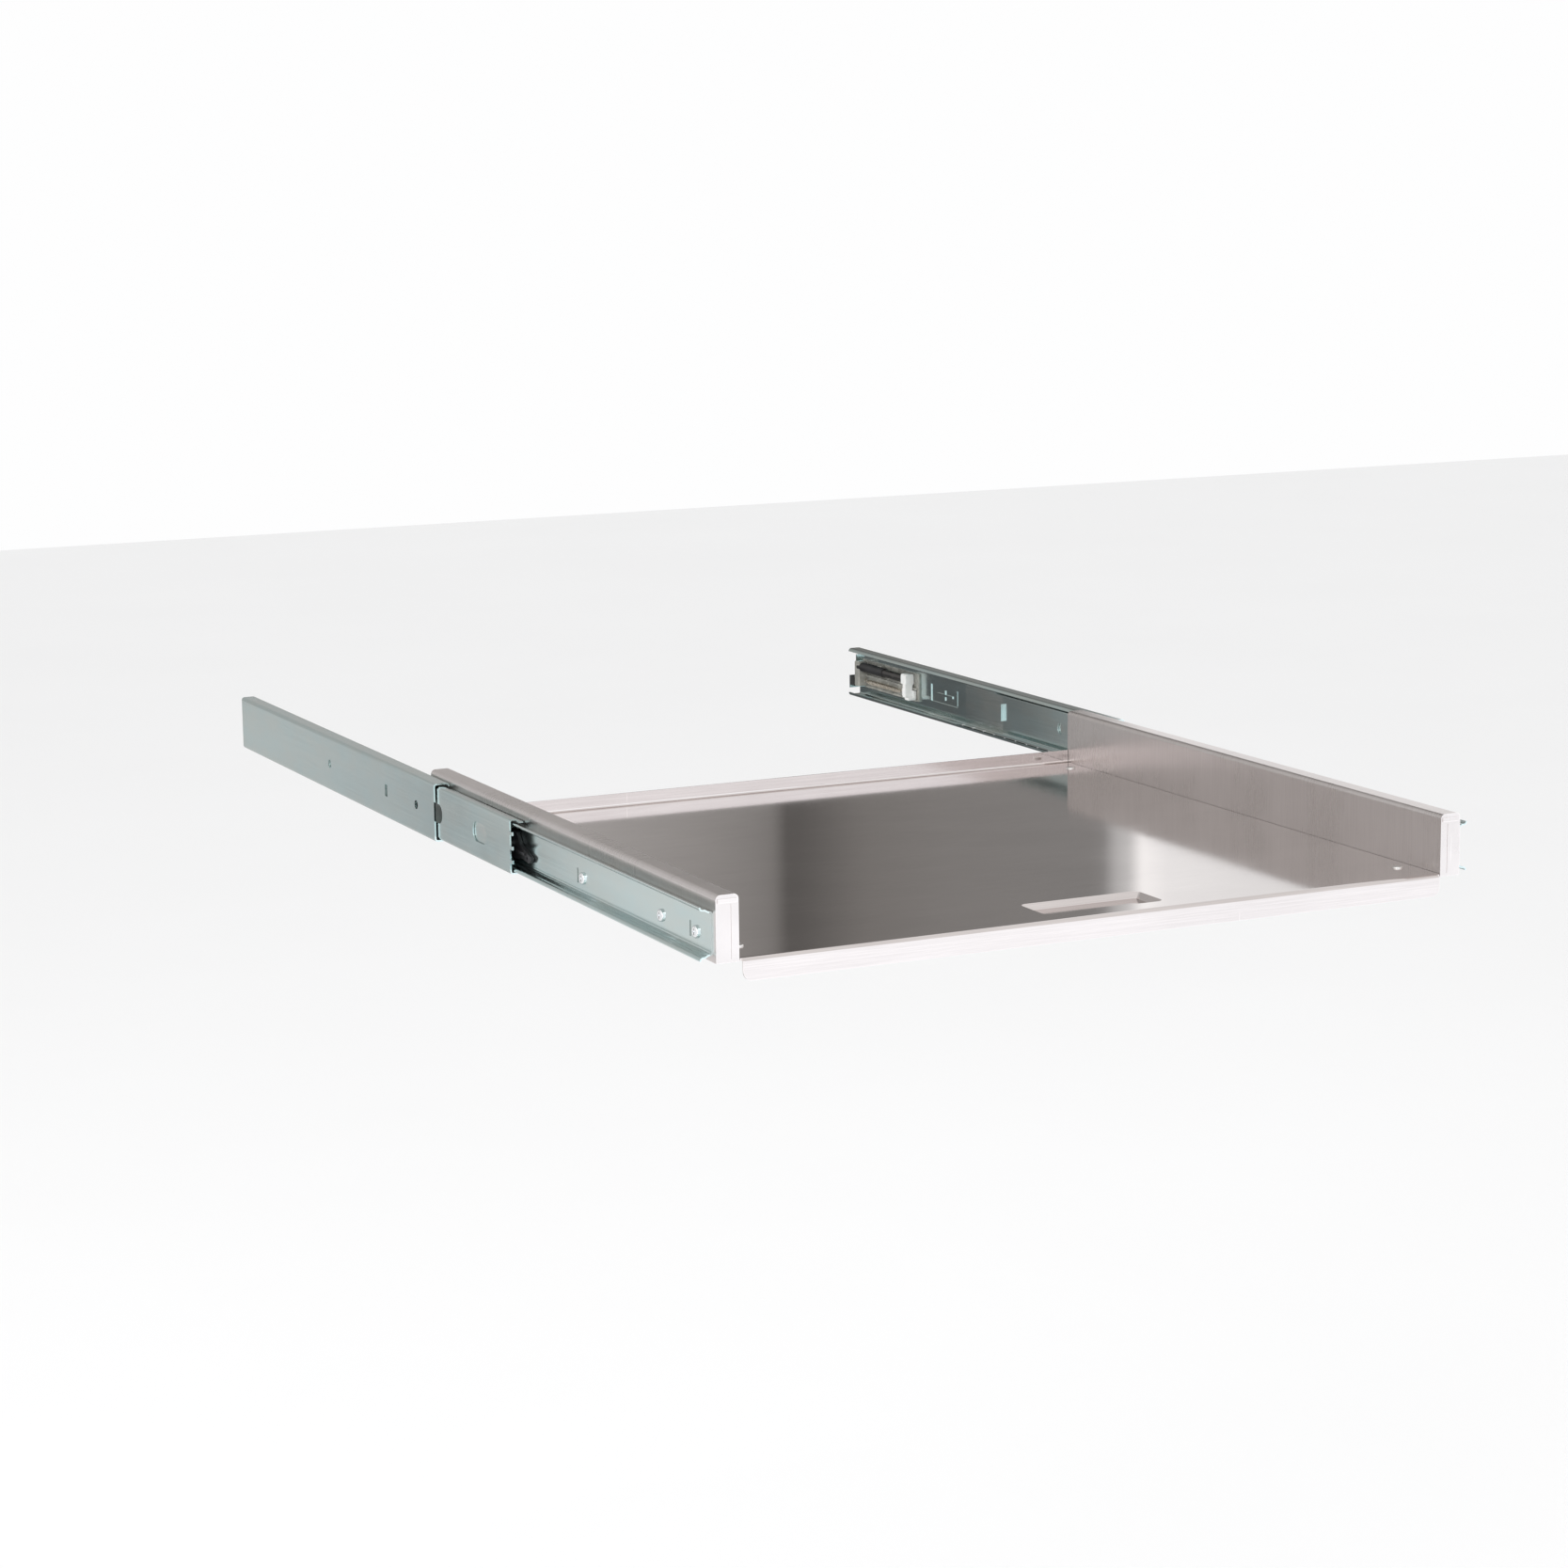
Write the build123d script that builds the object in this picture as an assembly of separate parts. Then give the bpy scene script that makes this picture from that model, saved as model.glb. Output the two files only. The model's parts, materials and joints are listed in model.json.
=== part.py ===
from build123d import *
import math
import os

# Pull-out stainless tray on a pair of three-member ball-bearing slides with soft closing.
# X runs across the cabinet, +Y points into the cabinet, +Z is up.
# The origin is on the tray floor, on the mid-plane, level with the front ends of the
# cabinet members. The tray is drawn fully pulled out, both slide sections at their stops.

# ---------------------------------------------------------------- driving sizes (mm)
cabinet_width = 568.0        # clear width between the two cabinet panels
slide_length = 450.0         # cabinet member length, and the tray's full travel
slide_height = 42.0
slide_thickness = 12.7       # from the cabinet panel to the tray's wall
slide_centre_z = 16.0        # slide centreline above the tray floor

cabinet_steel = 1.2
middle_steel = 1.0
drawer_steel = 1.0
cage_steel = 0.35
ball_diameter = 2.778        # 7/64 inch
race_clearance = 0.05        # ball to race
member_gap = 0.9             # least gap between nested flanges, where the ball cages run
web_gap = 0.8                # between the webs of the cabinet and middle members
lip_gap = 0.79               # drawer member's lips to the middle member's web
hook_setback = 0.45          # cabinet member's hooks stand back from the tray's wall

middle_closed_setback = 2.0  # middle member behind the cabinet member's front when closed
middle_closed_gap = 6.0      # middle member to the soft closer when closed
middle_open_back = 187.0     # middle member's back end, with the tray out
middle_edge_setback = 0.7    # middle member's free edges stand back from the tray's wall
middle_slots = ((44.0, 26.0, 14.0), (130.0, 48.0, 14.0), (230.0, 9.0, 9.0))
middle_tongue_length = 4.5   # three tongues on the middle member's front end
middle_tongue_width = 2.5
middle_tongue_heights = (-11.0, -1.5, 8.5)
middle_stop_rise = 2.5       # stop folded up at the middle member's back end
middle_stop_width = 14.0

drawer_member_end_gap = 13.0    # drawer member is this much shorter than the slide
drawer_member_setback = 4.5     # behind the front of the tray's walls
drawer_step_run = 2.4           # sloping step between its web and its ball grooves
drawer_step_rise = 1.3
outer_cage_length = 200.0
outer_cage_overhang = 66.0   # behind the middle member's back end, with the tray out
inner_cage_length = 105.0
inner_cage_stop_gap = 4.0    # cage to the drawer member's back end, with the tray out
cage_edge_margin = 0.39      # cage strip outside the ball
cage_pocket_clearance = 0.12
outer_ball_pitch = 18.0
inner_ball_pitch = 18.0

tray_depth = 489.0
wall_height = 40.0
wall_box_width = 15.3        # outer face to inner face of a folded side wall
wall_edge_radius = 3.2
tray_steel = 1.0
wall_flange_width = 20.0     # bottom flange, folded under the floor
back_upstand = 9.4
front_lip_drop = 14.3        # lip's lower edge below the floor
front_lip_overhang = 1.9     # lip in front of the walls
front_bend_radius = 3.0
back_bend_radius = 1.6
lip_end_gap = 1.6
floor_side_gap = 0.35        # floor's side edges to the walls
lip_corner_radius = 6.0

recess_width = 90.0          # pressed finger recess behind the front lip
recess_depth = 36.0
recess_drop = 5.0
recess_front = 15.5          # recess edge behind the front of the walls
recess_offset = 9.0          # recess centre to the right of the mid-plane
recess_corner_radius = 6.0

rivet_head_diameter = 7.0
rivet_shank_diameter = 4.0
rivet_head_height = 1.1
rivet_from_wall = 13.0
rivet_end_margins = (30.0, 27.0)    # from the walls' front and back ends

screw_diameter = 4.0
screw_head_diameter = 8.0
screw_head_height = 1.9
screw_length = 6.0           # under the head
screw_clearance = 0.1
screw_from_front = (26.0, 78.0, 204.0)
screw_drop = 3.0             # fixings sit this far below the slide's centreline
spare_fixing_from_front = 371.0
spare_fixing_diameter = 5.0
lance_slit_width = 2.0       # upright slit beside the first and last screws
lance_slit_length = 10.0
lance_slit_place = 9.0

cabinet_hole_diameter = 6.4
cabinet_holes = (37.0, 229.0)   # round screw holes behind the cabinet member's front end
spare_slot_place = 101.0        # one upright spare slot between them
spare_slot_length = 9.0
spare_slot_width = 4.5
emboss_length = 48.0            # pressed pocket in the cabinet member's web, with a cross
emboss_gap = 20.0               # pocket to the soft closer
emboss_height = 14.5
emboss_drop = 0.75              # pocket's middle below the slide's centreline
emboss_floor = 0.4              # sheet left under the pocket
emboss_cross_length = 28.0
emboss_cross_height = 8.4
emboss_bar_width = 2.0
end_stop_range = (-14.0, -3.0)  # end stop, heights from the centreline
end_ear_range = (9.0, 15.0)
end_ear_rise = 5.0
bumper_gap = 1.8                # soft-closing unit to the rubber bumper

closer_stroke = 32.0         # soft-closing carriage, from armed to closed
closer_end_gap = 9.0         # soft-closing unit to the cabinet member's back end
closer_side_gap = 0.72       # unit to the drawer member's channel
closer_top_gap = 0.4         # carriage to the drawer member's web
closer_base_thickness = 1.4
clamp_setback = 8.0          # carriage behind the unit's front
clamp_length = 9.0
clamp_wall = 0.5
damper_diameter = 7.2
damper_fit = 0.05            # radial, damper body in its sleeve
damper_engagement = 10.0     # damper body inside its sleeve when armed
sleeve_wall = 0.55
sleeve_end_wall = 1.0
sleeve_front_gap = 5.0       # carriage to the sleeve when closed
sleeve_back_gap = 4.0        # damper body to the sleeve's end when closed
end_block_wall = 4.0
rail_width = 1.5
rail_gap = 0.7               # carriage foot to its rails
pin_thickness = 2.5          # catch tab on the drawer member
pin_clearance = 0.3
spring_radius = 1.9
spring_wire = 0.6
spring_turns = 20

lever_pivot_setback = 16.0   # lever pivot behind the middle member's front end
lever_side_gap = 3.2
lever_thickness = 2.4
pivot_diameter = 3.0
pivot_fit = 0.08
pivot_head_overhang = 1.2

# ---------------------------------------------------------------- sizes worked out
half_cabinet = cabinet_width / 2
tray_front = -slide_length
tray_back = tray_front + tray_depth
wall_outer_x = half_cabinet - slide_thickness
wall_inner_x = wall_outer_x - wall_box_width
ball_radius = ball_diameter / 2
groove_radius = ball_radius + race_clearance
rivet_from_front = (rivet_end_margins[0], tray_depth - rivet_end_margins[1])

# Along the slide, with the tray out and the soft closer armed.
sleeve_length = damper_engagement + closer_stroke + sleeve_back_gap + sleeve_end_wall
sleeve_setback = clamp_setback + clamp_length + closer_stroke + sleeve_front_gap
closer_length = sleeve_setback + sleeve_length + end_block_wall
closer_back = slide_length - closer_end_gap
closer_front = closer_back - closer_length
sleeve_front = closer_front + sleeve_setback
sleeve_back = sleeve_front + sleeve_length
clamp_front = closer_front + clamp_setback
clamp_back = clamp_front + clamp_length

middle_length = closer_front - middle_closed_gap - middle_closed_setback
middle_front = middle_open_back - middle_length
drawer_front = tray_front + drawer_member_setback
drawer_back = drawer_front + slide_length - drawer_member_end_gap
inner_cage_back = drawer_back - inner_cage_stop_gap
inner_cage_front = inner_cage_back - inner_cage_length
outer_cage_back = middle_open_back + outer_cage_overhang
outer_cage_front = outer_cage_back - outer_cage_length
pivot_y = middle_front + lever_pivot_setback
pin_front = clamp_front + closer_stroke - pin_clearance - pin_thickness - slide_length

# Slide cross-section: u runs from the cabinet panel towards the tray, v is height
# above the slide's centreline. Values are on the middle of the sheet.
cabinet_web_u = cabinet_steel / 2
cabinet_flange_v = (slide_height - cabinet_steel) / 2
cabinet_hook_u = slide_thickness - hook_setback - cabinet_steel / 2
cabinet_inside_v = cabinet_flange_v - cabinet_steel / 2

outer_ball_u = cabinet_hook_u - cabinet_steel / 2 - groove_radius
outer_ball_v = cabinet_inside_v - groove_radius
cabinet_hook_end_v = outer_ball_v - 0.1

middle_web_u = cabinet_steel + web_gap + middle_steel / 2
middle_web_top_u = middle_web_u + middle_steel / 2
middle_edge_u = slide_thickness - middle_edge_setback
inner_ball_u = middle_web_top_u + lip_gap + drawer_steel + groove_radius

# The middle member passes between the two ball rows of each flange, a sheet's
# thickness apart, so the inner row sits lower by what that and the flange gap need.
ball_run = outer_ball_u - inner_ball_u
ball_spacing = 2 * groove_radius + middle_steel
touching_rise = math.sqrt(max(ball_spacing ** 2 - ball_run ** 2, 0))
ball_rise = max(member_gap + middle_steel, touching_rise)
flange_gap = ball_rise - middle_steel
inner_ball_v = outer_ball_v - ball_rise
middle_high_v = inner_ball_v + groove_radius + middle_steel / 2
middle_low_v = outer_ball_v - groove_radius - middle_steel / 2

drawer_web_u = slide_thickness - drawer_steel / 2
drawer_inside_u = slide_thickness - drawer_steel
drawer_groove_v = inner_ball_v - groove_radius - drawer_steel / 2
drawer_lip_u = inner_ball_u - groove_radius - drawer_steel / 2
drawer_lip_end_v = inner_ball_v + 0.1
drawer_web_v = drawer_groove_v - drawer_step_rise
drawer_inside_v = drawer_web_v - drawer_steel / 2

# Soft closer: the damper in the upper half, the carriage's foot and the spring below.
closer_half = drawer_inside_v - closer_side_gap
closer_base_u = cabinet_steel + closer_base_thickness
closer_top_u = drawer_inside_u - closer_top_gap
clamp_top_u = closer_top_u - 0.3
block_top_u = closer_top_u - 0.5
damper_radius = damper_diameter / 2
damper_u = clamp_top_u - clamp_wall - damper_radius
damper_v = closer_half / 2
sleeve_radius = damper_radius + damper_fit + sleeve_wall
rail_lows = (-closer_half, -closer_half / 5)
foot_low_v = rail_lows[0] + rail_width + rail_gap
foot_high_v = rail_lows[1] - rail_gap
spring_v = (foot_low_v + foot_high_v) / 2
catch_low_u = middle_web_top_u + middle_stop_rise + 1.4


# ---------------------------------------------------------------- helpers
def run(section, front, back):
    """A section drawn in X and Z, extruded from front to back along Y."""
    return extrude(Plane.XZ.offset(-back) * section, amount=back - front)


def box(x_range, y_range, z_range):
    """A block between two X, two Y and two Z values."""
    size = [high - low for low, high in (x_range, y_range, z_range)]
    middle = [(high + low) / 2 for low, high in (x_range, y_range, z_range)]
    return Pos(*middle) * Box(*size)


def rod(start, end, radius):
    """A round bar from one point to another."""
    way = Vector(*end) - Vector(*start)
    return Plane(origin=start, z_dir=way) * extrude(Circle(radius), amount=way.length)


def offset_corners(points, shift):
    """The corners of a line that runs beside a polyline at a fixed distance."""
    places = [Vector(*point) for point in points]
    ways = [(b - a).normalized() for a, b in zip(places, places[1:])]
    sides = [Vector(-way.Y, way.X) for way in ways]
    corners = [places[0] + sides[0] * shift]
    for place, before, after in zip(places[1:-1], sides, sides[1:]):
        mitre = before + after
        corners.append(place + mitre * (shift / mitre.dot(before)))
    corners.append(places[-1] + sides[-1] * shift)
    return corners


def turn_signs(points):
    """+1 where a polyline turns left, -1 where it turns right."""
    signs = []
    for a, b, c in zip(points, points[1:], points[2:]):
        cross = (b[0] - a[0]) * (c[1] - b[1]) - (b[1] - a[1]) * (c[0] - b[0])
        signs.append(1 if cross > 0 else -1)
    return signs


def folded_sheet(points, radii, thickness):
    """Cross-section of a sheet folded along a centreline, with a radius at each fold."""
    half = thickness / 2
    signs = turn_signs(points)
    left_radii = [max(radius - sign * half, 0.05) for radius, sign in zip(radii, signs)]
    right_radii = [max(radius + sign * half, 0.05) for radius, sign in zip(radii, signs)]
    left = FilletPolyline(*offset_corners(points, half), radius=left_radii)
    right = FilletPolyline(*offset_corners(points, -half), radius=right_radii)
    ends = [Line(left @ 0, right @ 0), Line(left @ 1, right @ 1)]
    return make_face(left.edges() + right.edges() + [end.edge() for end in ends])


def channel(upper_points, upper_radii, thickness):
    """A C section from its upper half, listed from the free edge to the web."""
    lower_points = [(u, -v) for u, v in reversed(upper_points)]
    return folded_sheet(upper_points + lower_points, upper_radii + upper_radii[::-1], thickness)


def place_left(shape):
    """From slide coordinates (u, Y, v) to the left slide's place."""
    return Pos(-half_cabinet, 0, slide_centre_z) * shape


def place_right(shape):
    """The same piece, mirrored to the right slide."""
    return mirror(place_left(shape), about=Plane.YZ)


def obround(length, height, u_range, y_centre):
    """A cutter through a web for a slot with round ends, longest along Y."""
    outline = Pos(y_centre, 0) * RectangleRounded(length, height, height * 0.49)
    plane = Plane(origin=(u_range[0], 0, 0), x_dir=(0, 1, 0), z_dir=(1, 0, 0))
    return extrude(plane * outline, amount=u_range[1] - u_range[0])


# ---------------------------------------------------------------- slide sections
def cabinet_section():
    upper = [
        (cabinet_hook_u, cabinet_hook_end_v),
        (cabinet_hook_u, cabinet_flange_v),
        (cabinet_web_u, cabinet_flange_v),
    ]
    return channel(upper, [groove_radius + cabinet_steel / 2, 1.8], cabinet_steel)


def middle_section():
    bend = groove_radius + middle_steel / 2
    clear_run = math.sqrt(max(ball_run ** 2 + ball_rise ** 2 - ball_spacing ** 2, 0))
    tangent = bend * (ball_run - clear_run) / (2 * bend + ball_rise)
    eased_bend = bend * 0.985
    upper = [
        (middle_edge_u, middle_low_v),
        (outer_ball_u - tangent, middle_low_v),
        (inner_ball_u + tangent, middle_high_v),
        (middle_web_u, middle_high_v),
    ]
    return channel(upper, [eased_bend, eased_bend, 1.5], middle_steel)


def drawer_section():
    step_end_u = drawer_web_u - drawer_step_run
    step_start_u = inner_ball_u + ball_radius
    upper = [
        (drawer_lip_u, drawer_lip_end_v),
        (drawer_lip_u, drawer_groove_v),
        (step_start_u, drawer_groove_v),
        (step_end_u, drawer_web_v),
        (drawer_web_u, drawer_web_v),
    ]
    return channel(upper, [groove_radius + drawer_steel / 2, 2.0, 2.0, 1.3], drawer_steel)


def cage_section(ball_u, ball_v, web_u, arm_v, knee_margin, radii):
    """Strip from its web to a knee, then straight through the ball centres to its edge."""
    knee_u = ball_u - ball_radius - knee_margin
    slope = (arm_v - ball_v) / (knee_u - ball_u)
    edge_run = ball_radius + cage_edge_margin
    upper = [
        (ball_u + edge_run, ball_v + edge_run * slope),
        (knee_u, arm_v),
        (web_u, arm_v),
    ]
    return channel(upper, radii, cage_steel)


def outer_cage_section():
    web_u = cabinet_steel + web_gap / 2
    arm_v = cabinet_inside_v - flange_gap / 2
    return cage_section(outer_ball_u, outer_ball_v, web_u, arm_v, 0.62, [1.0, 0.8])


def inner_cage_section():
    web_u = middle_web_top_u + lip_gap / 2
    arm_v = inner_ball_v + groove_radius - 0.59
    return cage_section(inner_ball_u, inner_ball_v, web_u, arm_v, 0.56, [0.5, 0.4])


# ---------------------------------------------------------------- slide pieces
def upright_hole(u_range, place_y, height, diameter):
    """A cutter for a round hole through a web."""
    return rod((u_range[0], place_y, height), (u_range[1], place_y, height), diameter / 2)


def cabinet_member():
    """Fixed channel, screwed to the cabinet panel, with its end stop turned in."""
    member = run(cabinet_section(), 0, slide_length)
    through = (-1, cabinet_steel + 0.1)
    for hole_y in cabinet_holes:
        member -= upright_hole(through, hole_y, 0, cabinet_hole_diameter)
    spare_y = (spare_slot_place - spare_slot_width / 2, spare_slot_place + spare_slot_width / 2)
    member -= box(through, spare_y, (-spare_slot_length / 2, spare_slot_length / 2))
    member = member - emboss_pocket() + emboss_cross()
    end = (slide_length - cabinet_steel, slide_length)
    stop = box((0, cabinet_hook_u - 0.2), end, end_stop_range)
    ear = box((0, end_ear_rise), end, end_ear_range)
    return member + stop + ear


def emboss_place():
    """Front and back of the pressed pocket in the cabinet member's web."""
    back = closer_front - emboss_gap
    return back - emboss_length, back


def emboss_pocket():
    """Cutter for the shallow pocket, open towards the tray."""
    low = -emboss_drop - emboss_height / 2
    return box((emboss_floor, cabinet_steel + 0.1), emboss_place(), (low, low + emboss_height))


def emboss_cross():
    """Raised cross in the middle of the pocket, and an upright bar at its front end."""
    front, back = emboss_place()
    middle = (front + back) / 2
    rise = (emboss_floor - 0.1, cabinet_steel)
    half_bar = emboss_bar_width / 2
    half_length = emboss_cross_length / 2
    half_height = emboss_cross_height / 2
    bar_half = emboss_height / 2 - 1
    pieces = [
        ((middle - half_length, middle + half_length), half_bar),
        ((middle - half_bar, middle + half_bar), half_height),
        ((front + 2, front + 2 + emboss_bar_width), bar_half),
    ]
    cross = [box(rise, along, (-emboss_drop - half, -emboss_drop + half)) for along, half in pieces]
    return cross[0] + cross[1] + cross[2]


def middle_member():
    """Sliding channel between the two ball rows."""
    member = run(middle_section(), middle_front, middle_open_back)
    through = (middle_web_u - 1, middle_web_u + 1)
    for front_gap, length, height in middle_slots:
        member -= obround(length, height, through, middle_front + front_gap + length / 2)
    web = (middle_web_top_u - middle_steel, middle_web_top_u)
    tongue_y = (middle_front - middle_tongue_length, middle_front + 1)
    for low in middle_tongue_heights:
        member += box(web, tongue_y, (low, low + middle_tongue_width))
    stop_u = (web[0], web[1] + middle_stop_rise)
    stop_y = (middle_open_back - middle_steel, middle_open_back)
    return member + box(stop_u, stop_y, (-middle_stop_width / 2, middle_stop_width / 2))


def drawer_member():
    """Channel screwed to the tray's wall, with the catch tab for the soft closer."""
    member = run(drawer_section(), drawer_front, drawer_back)
    through = (drawer_inside_u - 0.5, slide_thickness + 1)
    for from_front in screw_from_front:
        hole = screw_diameter + 2 * screw_clearance
        member -= upright_hole(through, tray_front + from_front, -screw_drop, hole)
    for from_front in (screw_from_front[0], screw_from_front[-1]):
        slit_y = tray_front + from_front + lance_slit_place
        slit = (slit_y - lance_slit_width / 2, slit_y + lance_slit_width / 2)
        slit_low = -screw_drop / 2 - lance_slit_length / 2 - 1
        member -= box(through, slit, (slit_low, slit_low + lance_slit_length))
    spare_y = tray_front + spare_fixing_from_front
    member -= upright_hole(through, spare_y, 0, spare_fixing_diameter)
    member -= upright_hole(through, pivot_y, 0, pivot_diameter)
    catch_u = (catch_low_u, drawer_inside_u + 0.5)
    catch_v = (foot_low_v + 1.8, foot_high_v + 0.1)
    return member + box(catch_u, (pin_front, pin_front + pin_thickness), catch_v)


def cage(section, front, back, ball_places, ball_u, ball_v):
    """Thin U-shaped strip with a pocket for each ball."""
    strip = run(section, front, back)
    pocket = ball_radius + cage_pocket_clearance
    for ball_y in ball_places:
        for side in (-1, 1):
            strip -= Pos(ball_u, ball_y, side * ball_v) * Sphere(pocket)
    return strip


def balls(ball_places, ball_u, ball_v):
    """Two rows of balls, top and bottom."""
    places = [(ball_u, ball_y, side * ball_v) for side in (-1, 1) for ball_y in ball_places]
    return Compound(children=[Pos(*place) * Sphere(ball_radius) for place in places])


def ball_row(front, back, pitch):
    """Ball places, evenly spaced and centred in a cage."""
    count = int((back - front - pitch) // pitch) + 1
    start = (front + back - (count - 1) * pitch) / 2
    return [start + number * pitch for number in range(count)]


def lever_outline():
    """Side view of the release lever, from its pivot forward to the finger beak."""
    half = drawer_inside_v - lever_side_gap
    corners = [
        (9, half - 1),
        (-10, half),
        (-17, 1.5),
        (-26, -1.5),
        (-38, -5.0),
        (-33, -half + 0.5),
        (-19, -half + 1.8),
        (-10, -half),
        (9, -half),
    ]
    places = [(pivot_y + along, height) for along, height in corners]
    edges = FilletPolyline(*places, radius=[4, 4, 5, 6, 1.4, 1.6, 4, 3, 4], close=True)
    return make_face(edges)


def release_lever():
    """Black plastic lever inside the drawer member, pressed to take the tray out."""
    low_u = drawer_inside_u - pin_clearance - lever_thickness
    plane = Plane(origin=(low_u, 0, 0), x_dir=(0, 1, 0), z_dir=(1, 0, 0))
    plate = extrude(plane * lever_outline(), amount=lever_thickness)
    through = (low_u - 1, drawer_inside_u)
    plate -= upright_hole(through, pivot_y, 0, pivot_diameter + 2 * pivot_fit)
    plate -= upright_hole(through, pivot_y - 29, -6, 2.4)
    rib = box((low_u - 1.4, low_u + 0.5), (pivot_y - 27, pivot_y - 8), (-4.4, -2.6))
    return plate + rib


def lever_pivot():
    """Rivet that the release lever turns on."""
    seat_u = drawer_inside_u - pin_clearance - lever_thickness - 0.2
    shank = upright_hole((seat_u, slide_thickness), pivot_y, 0, pivot_diameter)
    head_diameter = pivot_diameter + 2 * pivot_head_overhang
    return shank + upright_hole((seat_u - 1, seat_u), pivot_y, 0, head_diameter)


def drawer_screws():
    """Pan-head screws that hold the drawer member to the tray's wall."""
    screws = []
    seat = drawer_inside_u
    top = seat - screw_head_height
    recess = (top - 0.1, top + 1)
    for from_front in screw_from_front:
        place_y = tray_front + from_front
        head = upright_hole((top, seat), place_y, -screw_drop, screw_head_diameter)
        rim = head.edges().filter_by(GeomType.CIRCLE).sort_by(Axis.X)[0]
        head = fillet(rim, 1.2)
        shank = upright_hole((seat, seat + screw_length), place_y, -screw_drop, screw_diameter)
        for half_y, half_v in ((2, 0.4), (0.4, 2)):
            low, high = -screw_drop - half_v, -screw_drop + half_v
            head -= box(recess, (place_y - half_y, place_y + half_y), (low, high))
        screws.append(head + shank)
    return Compound(children=screws)


# ---------------------------------------------------------------- soft closing unit
def damper_rod(front, back, radius):
    """A round piece on the damper's axis."""
    return rod((damper_u, front, damper_v), (damper_u, back, damper_v), radius)


def closer_housing():
    """Plastic base on the cabinet member's web, with the carriage track and end block."""
    base = box(
        (cabinet_steel, closer_base_u), (closer_front, closer_back), (-closer_half, closer_half)
    )
    block_half = closer_half - 1
    inside_u = closer_base_u - 0.1
    block_y = (sleeve_back - 5, closer_back)
    block = box((inside_u, block_top_u), block_y, (-block_half, block_half))
    housing = base + fillet(block.edges().filter_by(Axis.X), 1.5)
    for low in rail_lows:
        rail_y = (closer_front + 2, sleeve_back - 4)
        housing += box((inside_u, closer_base_u + 1.4), rail_y, (low, low + rail_width))
    saddle_y = (sleeve_front + 8, sleeve_front + 14)
    saddle_v = (damper_v - 4.8, damper_v + 4.8)
    housing += box((inside_u, damper_u), saddle_y, saddle_v)
    return housing - damper_rod(sleeve_front - 1, sleeve_back, sleeve_radius)


def damper_sleeve():
    """Black outer tube of the damper, closed at the back."""
    tube = damper_rod(sleeve_front, sleeve_back, sleeve_radius)
    bore_back = sleeve_back - sleeve_end_wall
    return tube - damper_rod(sleeve_front - 1, bore_back, damper_radius + damper_fit)


def damper_body():
    """Inner damper that telescopes into its sleeve and carries the carriage."""
    return damper_rod(clamp_front + 2, sleeve_front + damper_engagement, damper_radius)


def closer_carriage():
    """White carriage: clamp round the damper, leg down to the catch, foot in the track."""
    clamp_v = (damper_v - 4.6, damper_v + 5.0)
    clamp = box((closer_base_u + 0.4, clamp_top_u), (clamp_front, clamp_back), clamp_v)
    clamp = fillet(clamp.edges().filter_by(Axis.Y), 2.0)
    leg_u = (closer_base_u + 1.8, closer_top_u)
    leg_low_v = foot_low_v + 1.0
    leg = box(leg_u, (clamp_front, clamp_front + 5), (leg_low_v, damper_v - 3))
    foot_u = (closer_base_u + 0.3, closer_base_u + 2.5)
    foot = box(foot_u, (clamp_front - 4, clamp_front + 18), (foot_low_v, foot_high_v))
    nib = box(leg_u, (clamp_front - 6, clamp_front + 1), (foot_low_v - 0.8, leg_low_v + 0.1))
    body = clamp + leg + foot + nib
    return body - damper_rod(clamp_front + 2, clamp_back + 1, damper_radius)


def closer_spring():
    """Extension spring that pulls the carriage home."""
    start = clamp_front + 18.4
    length = sleeve_back - 5.4 - start
    coil = Helix(pitch=length / spring_turns, height=length, radius=spring_radius)
    wire_plane = Plane(origin=coil @ 0, z_dir=coil % 0)
    wire = sweep(wire_plane * Circle(spring_wire / 2), path=coil, is_frenet=True)
    return Pos(closer_base_u + 2.7, start, spring_v) * Rot(-90, 0, 0) * wire


def end_bumper():
    """Rubber block on the end stop."""
    back = slide_length - cabinet_steel
    front = closer_back + bumper_gap
    low, high = end_stop_range
    bumper = box((3, cabinet_hook_u - 0.6), (front, back), (low + 2, high - 1))
    return fillet(bumper.edges().filter_by(Axis.Y), 1.2)


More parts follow.
